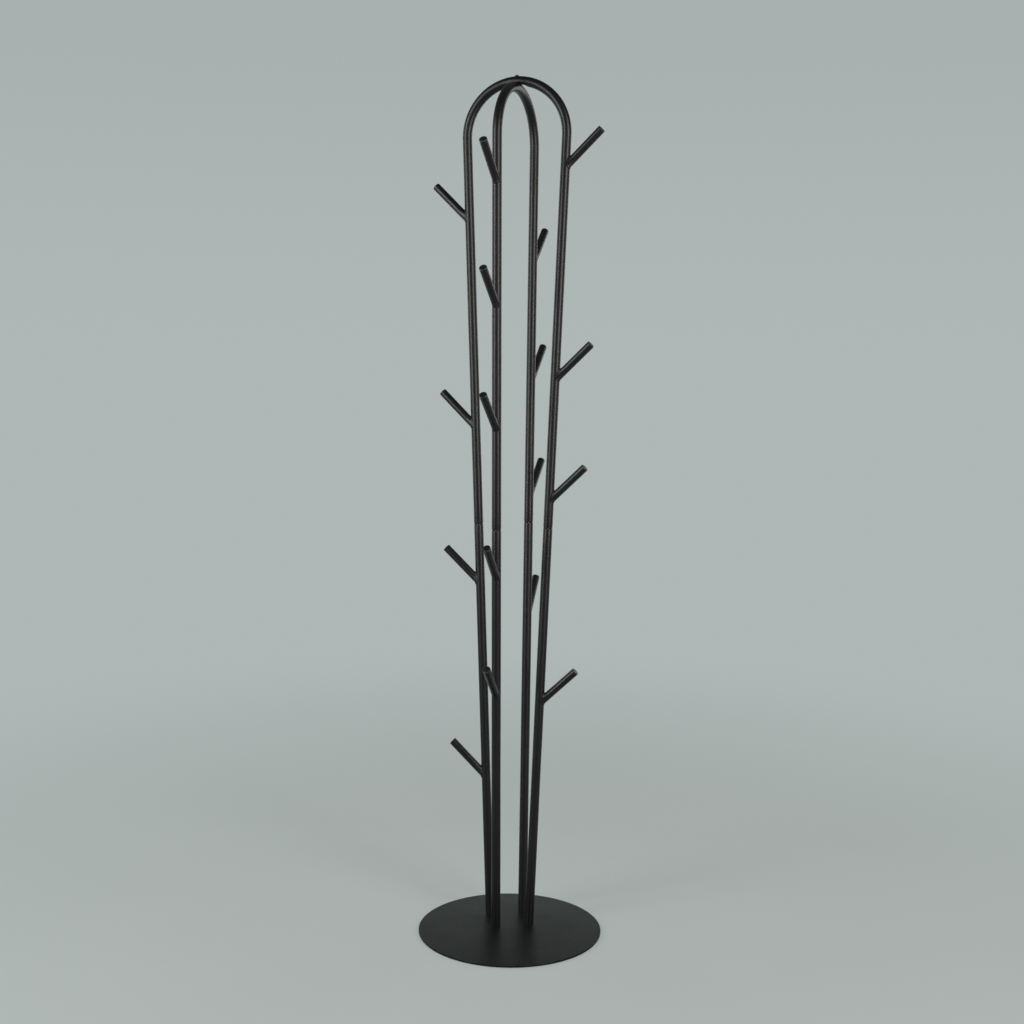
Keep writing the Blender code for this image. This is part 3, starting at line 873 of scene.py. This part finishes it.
class RACK_OT_base(bpy.types.Operator):
    """Builds the round base plate with its countersunk holes, and the felt under it"""

    bl_idname = "rack.base"
    bl_label = "Base Plate and Felt"

    def execute(self, context):
        sizes = context.scene.rack_sizes
        screws = [base_screw_of(leg) for leg in LEGS]
        self.plate(screws, sizes)
        self.felt(screws, sizes)
        return {"FINISHED"}

    @staticmethod
    def plate(screws, sizes):
        """The steel disc, with a countersunk hole for each screw."""
        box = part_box("base_plate")
        low, high, radius = box[0].z, box[1].z, half_width(box)
        work = rounded_disc(low, high, radius, sizes.plate_edge)
        rim = radius - sizes.plate_edge
        # The plate's rounded rim gets the painted highlight.
        mark_edges(work, lambda spot: 1.0 if rim < spot.xy.length < radius - NEAR else 0.0)
        plate = add_piece("round_base_plate", work, "base_coat", "base_plate")
        gap = sizes.screw_gap
        holes = bmesh.new()
        for axis, shank, head, head_height in screws:
            profile = (
                (0.0, high + gap),
                (shank + gap, high + gap),
                (shank + gap, low + head_height),
                (head + gap, low),
                (head + gap, low - gap),
                (0.0, low - gap),
            )
            turn_profile(holes, profile, axis)
        carve(plate, holes)

    @staticmethod
    def felt(screws, sizes):
        """The felt disc, with a plain hole round each screw's head."""
        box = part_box("floor_felt")
        low, high = box[0].z, box[1].z
        edge = (high - low) * FELT_EDGE
        work = rounded_disc(low, high, half_width(box), edge)
        felt = add_piece("floor_felt_disc", work, "felt", "floor_felt")
        holes = bmesh.new()
        for axis, _, head, _ in screws:
            add_prism(holes, axis, head + sizes.felt_margin, low - edge, high + edge, SCREW_SIDES)
        carve(felt, holes)


class RACK_OT_lower_tubes(bpy.types.Operator):
    """Builds the four lower tubes, each rolled in at the joint and flush with the base plate"""

    bl_idname = "rack.lower_tubes"
    bl_label = "Lower Tubes"

    def execute(self, context):
        sizes = context.scene.rack_sizes
        plate_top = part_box("base_plate")[1].z
        for leg in legs.values():
            work = bmesh.new()
            mouth = leg.mouth(upwards=False)
            ring = TubeRing(work, mouth, -leg.direction, leg.radius, sizes)
            ring.run_to(leg.at_height(plate_top - leg.radius))
            parts = list(work.verts) + list(work.edges) + list(work.faces)
            bmesh.ops.bisect_plane(work, geom=parts, plane_co=UP * plate_top, plane_no=UP, clear_inner=True)
            bmesh.ops.recalc_face_normals(work, faces=work.faces)
            # The rolled end at the joint gets the painted highlight.
            mark_edges(work, leg.rim_strength(mouth, sizes.rolled_end))
            tube = add_piece("lower_leg_" + leg.name, work, "powder_coat", "lower_tube_" + leg.name)
            add_wall(tube, sizes.tube_wall)
        return {"FINISHED"}


class RACK_OT_hoops(bpy.types.Operator):
    """Builds the two crossed hoops, pressed flat where they meet and drilled for the crown screw"""

    bl_idname = "rack.hoops"
    bl_label = "Hoops"

    def execute(self, context):
        sizes = context.scene.rack_sizes
        for name in HOOP_LEGS:
            hoop = Hoop(name)
            first, second = hoop.first, hoop.second
            start, end = hoop.shoulder(first), hoop.shoulder(second)
            work = bmesh.new()
            ring = TubeRing(work, first.mouth(upwards=True), first.direction, first.radius, sizes)
            ring.run_to(hoop.on_bend(first, start))
            ring.bend(hoop.centre, first.outward.cross(UP), math.pi - start - end, sizes.bend_steps)
            below_bend = hoop.on_bend(second, end) - second.direction * RUN_STEP
            ring.grow(below_bend, -second.direction, second.radius)
            ring.run_to_mouth(second.mouth(upwards=True))
            bmesh.ops.recalc_face_normals(work, faces=work.faces)
            hoop.press(work, sizes)
            # The rolled ends at both joints get the painted highlight.
            rims = [leg.rim_strength(leg.mouth(upwards=True), sizes.rolled_end) for leg in (first, second)]
            mark_edges(work, lambda spot: max(rim(spot) for rim in rims))
            piece = add_piece(name + "_tube", work, "powder_coat", name)
            add_wall(piece, sizes.tube_wall)
            self.drill(piece, hoop, sizes)
        return {"FINISHED"}

    @staticmethod
    def drill(piece, hoop, sizes):
        """The hole for the crown screw, which goes through the over hoop and into the under hoop."""
        fitting = sizes.crown_shank if hoop.name == "over_hoop" else sizes.crown_sleeve
        low = hoop.contact - sizes.tube_wall * DRILL_WALLS
        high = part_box("crown_screw")[1].z
        hole = bmesh.new()
        add_prism(hole, hoop.axis, fitting + sizes.screw_gap, low, high, SCREW_SIDES)
        carve(piece, hole)


class PegLine:
    """One peg's centre line, from where it meets its leg's, and the places round it."""

    def __init__(self, leg, node):
        tip, self.direction = leg.peg_line(node)
        tip -= self.direction * TIP_INSET
        self.leg = leg
        self.radius = reach_from_line(node, tip, self.direction)
        self.root = leg.meet(tip, self.direction)
        self.length = (tip - self.root).length
        self.side = self.direction.cross(leg.direction).normalized()
        self.front = self.side.cross(self.direction)
        self.matrix = Matrix((self.front, self.side, self.direction)).transposed().to_4x4()
        self.matrix.translation = self.root
        self.seed = float(sum(ord(letter) for letter in node))

    def around(self, angle):
        """Direction square to the peg, at an angle about it."""
        return self.front * math.cos(angle) + self.side * math.sin(angle)

    def angle_of(self, point):
        """The angle about the peg at which a point lies."""
        local = self.matrix.inverted() @ point
        return math.atan2(local.y, local.x)

    def spot(self, angle, reach, out):
        """Point at an angle, a distance from the peg's line and a distance out along it."""
        return self.root + self.around(angle) * reach + self.direction * out

    def saddle(self, angle, reach, sink=0.0):
        """Point where a line along the peg's side runs into the leg."""
        across, along = self.leg.flat(self.around(angle) * reach), self.leg.flat(self.direction)
        squared, linear = along.dot(along), 2 * across.dot(along)
        constant = across.dot(across) - (self.leg.radius - sink) ** 2
        out = (-linear + math.sqrt(max(0.0, linear * linear - 4 * squared * constant))) / (2 * squared)
        return self.spot(angle, reach, out)

    def bead(self, angle, share, sizes):
        """Point on the weld bead, from the peg's side at share 0 to the leg's skin at share 1."""
        corner = self.saddle(angle, self.radius)
        around = self.around(angle)
        skin = (corner - self.leg.nearest(corner)).normalized()
        wander = Vector((math.cos(angle), math.sin(angle), self.seed * WANDER_SEED_STEP)) * WANDER_SCALE
        slow = noise_at(wander)
        ripple = math.cos(angle * WELD_RIPPLES + RIPPLE_DRIFT * slow + self.seed)
        size = sizes.weld_leg * (1 + WANDER * slow + sizes.weld_ripple * ripple)
        up_peg = corner + self.direction * size * WELD_REACH
        landing = corner + (around - skin * around.dot(skin)).normalized() * size
        line = self.leg.nearest(landing)
        landing = line + (landing - line).normalized() * (self.leg.radius - WELD_SINK)
        bulge = ((up_peg - corner) + (landing - corner)).normalized()
        middle = (up_peg + landing) / 2 + bulge * size * sizes.weld_crown
        rest = 1 - share
        return up_peg * rest * rest + middle * 2 * share * rest + landing * share * share


class RACK_OT_pegs(bpy.types.Operator):
    """Builds the slanted pegs, each hollow, closed at its tip, and welded to its leg"""

    bl_idname = "rack.pegs"
    bl_label = "Pegs"

    def execute(self, context):
        sizes = context.scene.rack_sizes
        for leg in legs.values():
            for node in pegs_of(leg.name):
                add_piece("welded_" + node, self.peg(PegLine(leg, node), sizes), "powder_coat", node)
        return {"FINISHED"}

    @staticmethod
    def peg(line, sizes):
        """Grows a peg's skin from the middle of its tip to its weld, and back up its bore."""
        tip_round = sizes.peg_tip_round
        flat = line.radius - tip_round
        tip_edge = line.length - tip_round
        work = bmesh.new()
        made = bmesh.ops.create_circle(
            work,
            cap_ends=True,
            segments=PEG_SIDES,
            radius=flat,
            matrix=line.matrix @ Matrix.Translation(Vector((0.0, 0.0, line.length))),
        )
        _, edges = new_parts(made["verts"])

        def next_ring(place):
            """Extrudes the open ring and puts each of its corners in its place."""
            nonlocal edges
            verts, edges = new_parts(bmesh.ops.extrude_edge_only(work, edges=edges)["geom"])
            for vert in verts:
                vert.co = place(line.angle_of(vert.co))

        for step in range(1, ROLL_STEPS + 1):
            turn = math.pi / 2 * step / ROLL_STEPS
            reach, out = flat + tip_round * math.sin(turn), tip_edge + tip_round * math.cos(turn)
            next_ring(lambda angle: line.spot(angle, reach, out))
        slant = line.direction.cross(line.leg.direction).length
        clear = line.leg.radius / slant + line.radius + sizes.weld_leg * WELD_CLEAR
        for out in (line.length - tip_round * TIP_BAND, (line.length + clear) / 2, clear):
            next_ring(lambda angle: line.spot(angle, line.radius, out))
        for step in range(BEAD_STEPS + 1):
            next_ring(lambda angle: line.bead(angle, step / BEAD_STEPS, sizes))
        bore = line.radius - sizes.peg_wall
        next_ring(lambda angle: line.saddle(angle, bore, WELD_SINK))
        next_ring(lambda angle: line.spot(angle, bore, line.length - sizes.peg_wall * BORE_END))
        bmesh.ops.contextual_create(work, geom=edges)
        bmesh.ops.recalc_face_normals(work, faces=work.faces)

        # The rounded edge of a peg's tip gets the painted highlight.
        def strength(spot):
            out = (spot - line.root).dot(line.direction)
            return 1.0 if tip_edge < out < line.length - NEAR else 0.0

        mark_edges(work, strength)
        return work


class RACK_OT_fastenings(bpy.types.Operator):
    """Builds the crown screw and the base screws, and gives the hidden fittings their plating"""

    bl_idname = "rack.fastenings"
    bl_label = "Screws and Fittings"

    def execute(self, context):
        sizes = context.scene.rack_sizes
        self.crown_screw(sizes)
        for leg in LEGS:
            self.base_screw(leg, sizes)
        for name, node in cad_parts.items():
            if name.startswith(ZINC_FITTINGS):
                node.material_slots[0].material = finish_of("zinc_steel")
        return {"FINISHED"}

    @staticmethod
    def crown_screw(sizes):
        """A low domed screw with a hexagon socket, coated with the hoops."""
        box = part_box("crown_screw")
        low, high = box[0].z, box[1].z
        axis = levelled(middle_of(box))
        head, shank = half_width(box), sizes.crown_shank
        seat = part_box("over_hoop")[1].z
        rise = high - seat
        profile = [(0.0, high)]
        for step in range(DOME_STEPS + 1):
            turn = DOME_START + (math.pi / 2 - DOME_START) * step / DOME_STEPS
            share = DOME_BAND + (1.0 - DOME_BAND) * math.cos(turn) / math.cos(DOME_START)
            profile.append((head * math.sin(turn), seat + rise * share))
        profile += [(head, seat), (shank, seat), (shank, low), (0.0, low)]
        work = bmesh.new()
        turn_profile(work, profile, axis)
        # The top of the dome gets the painted highlight.
        top = seat + rise * DOME_GLINT_FROM
        mark_edges(work, lambda spot: DOME_GLINT if spot.z > top else 0.0)
        screw = add_piece("crown_button_screw", work, "powder_coat", "crown_screw")
        carve_socket(screw, axis, sizes.crown_socket, high - rise * CROWN_SOCKET_DEPTH, high + rise)

    @staticmethod
    def base_screw(leg, sizes):
        """A countersunk screw with a hexagon socket that looks down."""
        low, high = (corner.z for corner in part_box("base_screw_" + leg))
        axis, shank, head, head_height = base_screw_of(leg)
        profile = (
            (0.0, high),
            (shank - SCREW_LAND * 2, high),
            (shank, high - SCREW_LAND * 2),
            (shank, low + head_height),
            (head - SCREW_LAND / 2, low + SCREW_LAND),
            (head - SCREW_LAND / 2, low + SCREW_LAND / 3),
            (head - SCREW_LAND, low),
            (0.0, low),
        )
        work = bmesh.new()
        turn_profile(work, profile, axis)
        screw = add_piece("plate_screw_" + leg, work, "zinc_steel", "base_screw_" + leg)
        carve_socket(screw, axis, sizes.base_socket, low - head_height, low + sizes.base_socket_depth)


# ---------------- stage


class RACK_OT_studio(bpy.types.Operator):
    """Sets the camera, the pale seamless floor and the soft lights"""

    bl_idname = "rack.studio"
    bl_label = "Studio"

    def execute(self, context):
        look = context.scene.rack_studio
        context.scene.view_settings.view_transform = "Standard"
        self.camera(context, look)
        self.floor(look)
        self.surroundings(context, look)
        back_right = Vector(look.back_place)
        back_left = Vector((-back_right.x, back_right.y, back_right.z))
        for name, place, size, power, colour in (
            ("left_softbox", look.left_place, look.side_size, look.side_power, look.left_tint),
            ("right_softbox", look.right_place, look.side_size, look.side_power, look.right_tint),
            ("back_left_softbox", back_left, look.side_size, look.back_power, look.left_tint),
            ("back_right_softbox", back_right, look.side_size, look.back_power, look.right_tint),
        ):
            self.softbox(name, place, size, power, colour)
        low = self.softbox("low_softbox", look.low_place, look.low_size, look.low_power, look.backdrop_colour)
        low.visible_diffuse = False  # it gives the base its sheen, and would draw a band on the floor
        return {"FINISHED"}

    @staticmethod
    def softbox(name, place, size, power, colour):
        """A panel light that isn't seen itself, and faces the rack."""
        lamp = bpy.data.lights.new(name, "AREA")
        lamp.shape = "RECTANGLE"
        lamp.size, lamp.size_y = size
        lamp.energy = power
        lamp.color = colour
        place, middle = Vector(place), middle_of(cad_box)
        aim = min(place.z, middle.z + (place.z - middle.z) * AIM_SHARE)
        turn = (Vector((middle.x, middle.y, aim)) - place).to_track_quat("-Z", "Y")
        light = add_object(name, lamp)
        light.matrix_world = Matrix.LocRotScale(place, turn, None)
        light.visible_camera = False
        return light

    @staticmethod
    def camera(context, look):
        """Stands the camera in its place, turns it and makes it the scene's own."""
        lens = bpy.data.cameras.new("view")
        lens.lens = look.camera_lens
        lens.clip_end = 100.0
        camera = add_object("view", lens)
        pan = Matrix.Rotation(-look.camera_pan, 4, "Z")
        tilt = Matrix.Rotation(math.pi / 2 + look.camera_tilt, 4, "X")
        roll = Matrix.Rotation(look.camera_roll, 4, "Z")
        camera.matrix_world = Matrix.Translation(look.camera_place) @ pan @ tilt @ roll
        context.scene.camera = camera

    @staticmethod
    def floor(look):
        """A wide floor that fades into the backdrop, and can't be seen from below."""
        material, tree, shader, place = new_material("studio_paper")
        far = add_node(tree, "ShaderNodeVectorMath", {0: place}, operation="LENGTH").outputs["Value"]
        fade = spread(tree, far, look.floor_clear, look.floor_reach * FLOOR_FADE, look.floor_cover, 0.0)
        behind = add_node(tree, "ShaderNodeNewGeometry").outputs["Backfacing"]
        seen = calculate(tree, "MULTIPLY", fade, calculate(tree, "SUBTRACT", 1.0, behind))
        tree.links.new(seen, shader.inputs["Alpha"])
        tone = vary(tree, noise(tree, place, scale=3.0, detail=4.0, roughness=0.6), 0.985, 1.015)
        tree.links.new(scale_colour(tree, tuple(look.floor_colour), tone), shader.inputs["Base Color"])
        shader.inputs["Roughness"].default_value = 0.9
        shader.inputs["Specular IOR Level"].default_value = 0.15
        work = bmesh.new()
        just_under = Matrix.Translation((0.0, 0.0, -NEAR))
        bmesh.ops.create_circle(
            work, cap_ends=True, segments=FLOOR_SIDES, radius=look.floor_reach, matrix=just_under
        )
        mesh = mesh_of(work, "studio_floor")
        mesh.materials.append(material)
        add_object("studio_floor", mesh)

    @staticmethod
    def surroundings(context, look):
        """What the rack is seen against, and the dimmer room that lights it."""
        world = bpy.data.worlds.new("studio")
        context.scene.world = world
        world.use_nodes = True
        tree = world.node_tree
        tree.nodes.clear()
        facing = add_node(tree, "ShaderNodeTexCoord").outputs["Generated"]
        _, depth, height = add_node(tree, "ShaderNodeSeparateXYZ", {0: facing}).outputs
        falloff = spread(tree, height, 0.0, 0.32, 1.0, look.backdrop_falloff)
        pale = {"Color": (*look.backdrop_colour, 1.0), "Strength": falloff}
        backdrop = add_node(tree, "ShaderNodeBackground", pale)
        side = spread(tree, depth, -0.5, 0.9, look.room_light_front, look.room_light_back)
        overhead = spread(tree, height, 0.15, 0.55, 1.0, look.ceiling_light)
        strength = calculate(tree, "MULTIPLY", side, overhead)
        dim = {"Color": (*look.room_colour, 1.0), "Strength": strength}
        room = add_node(tree, "ShaderNodeBackground", dim)
        to_camera = add_node(tree, "ShaderNodeLightPath").outputs["Is Camera Ray"]
        choice = {0: to_camera, 1: room.outputs[0], 2: backdrop.outputs[0]}
        mixed = add_node(tree, "ShaderNodeMixShader", choice)
        add_node(tree, "ShaderNodeOutputWorld", {0: mixed.outputs[0]})


# ---------------- add-on


class RACK_PT_panel(bpy.types.Panel):
    """The rack's operators and settings in the sidebar"""

    bl_idname = "RACK_PT_panel"
    bl_label = "Standing Coat Rack"
    bl_space_type = "VIEW_3D"
    bl_region_type = "UI"
    bl_category = "Coat Rack"

    def draw(self, context):
        for operator in OPERATORS:
            self.layout.operator(operator.bl_idname)
        for group in ("rack_sizes", "rack_look", "rack_studio"):
            box = self.layout.box()
            settings = getattr(context.scene, group)
            for name in settings.bl_rna.properties.keys():
                if name not in ("rna_type", "name"):
                    box.prop(settings, name)


OPERATORS = (
    RACK_OT_base,
    RACK_OT_lower_tubes,
    RACK_OT_hoops,
    RACK_OT_pegs,
    RACK_OT_fastenings,
    RACK_OT_studio,
)
SETTINGS = {"rack_sizes": RackSizes, "rack_look": RackLook, "rack_studio": StudioLook}


def register():
    for group in SETTINGS.values():
        bpy.utils.register_class(group)
    for operator in OPERATORS:
        bpy.utils.register_class(operator)
    bpy.utils.register_class(RACK_PT_panel)
    for name, group in SETTINGS.items():
        setattr(bpy.types.Scene, name, PointerProperty(type=group))


def unregister():
    for name in SETTINGS:
        delattr(bpy.types.Scene, name)
    bpy.utils.unregister_class(RACK_PT_panel)
    for operator in reversed(OPERATORS):
        bpy.utils.unregister_class(operator)
    for group in reversed(SETTINGS.values()):
        bpy.utils.unregister_class(group)


def main():
    register()
    bpy.ops.rack.base()
    bpy.ops.rack.lower_tubes()
    bpy.ops.rack.hoops()
    bpy.ops.rack.pegs()
    bpy.ops.rack.fastenings()
    bpy.ops.rack.studio()


if __name__ == "__main__":
    main()
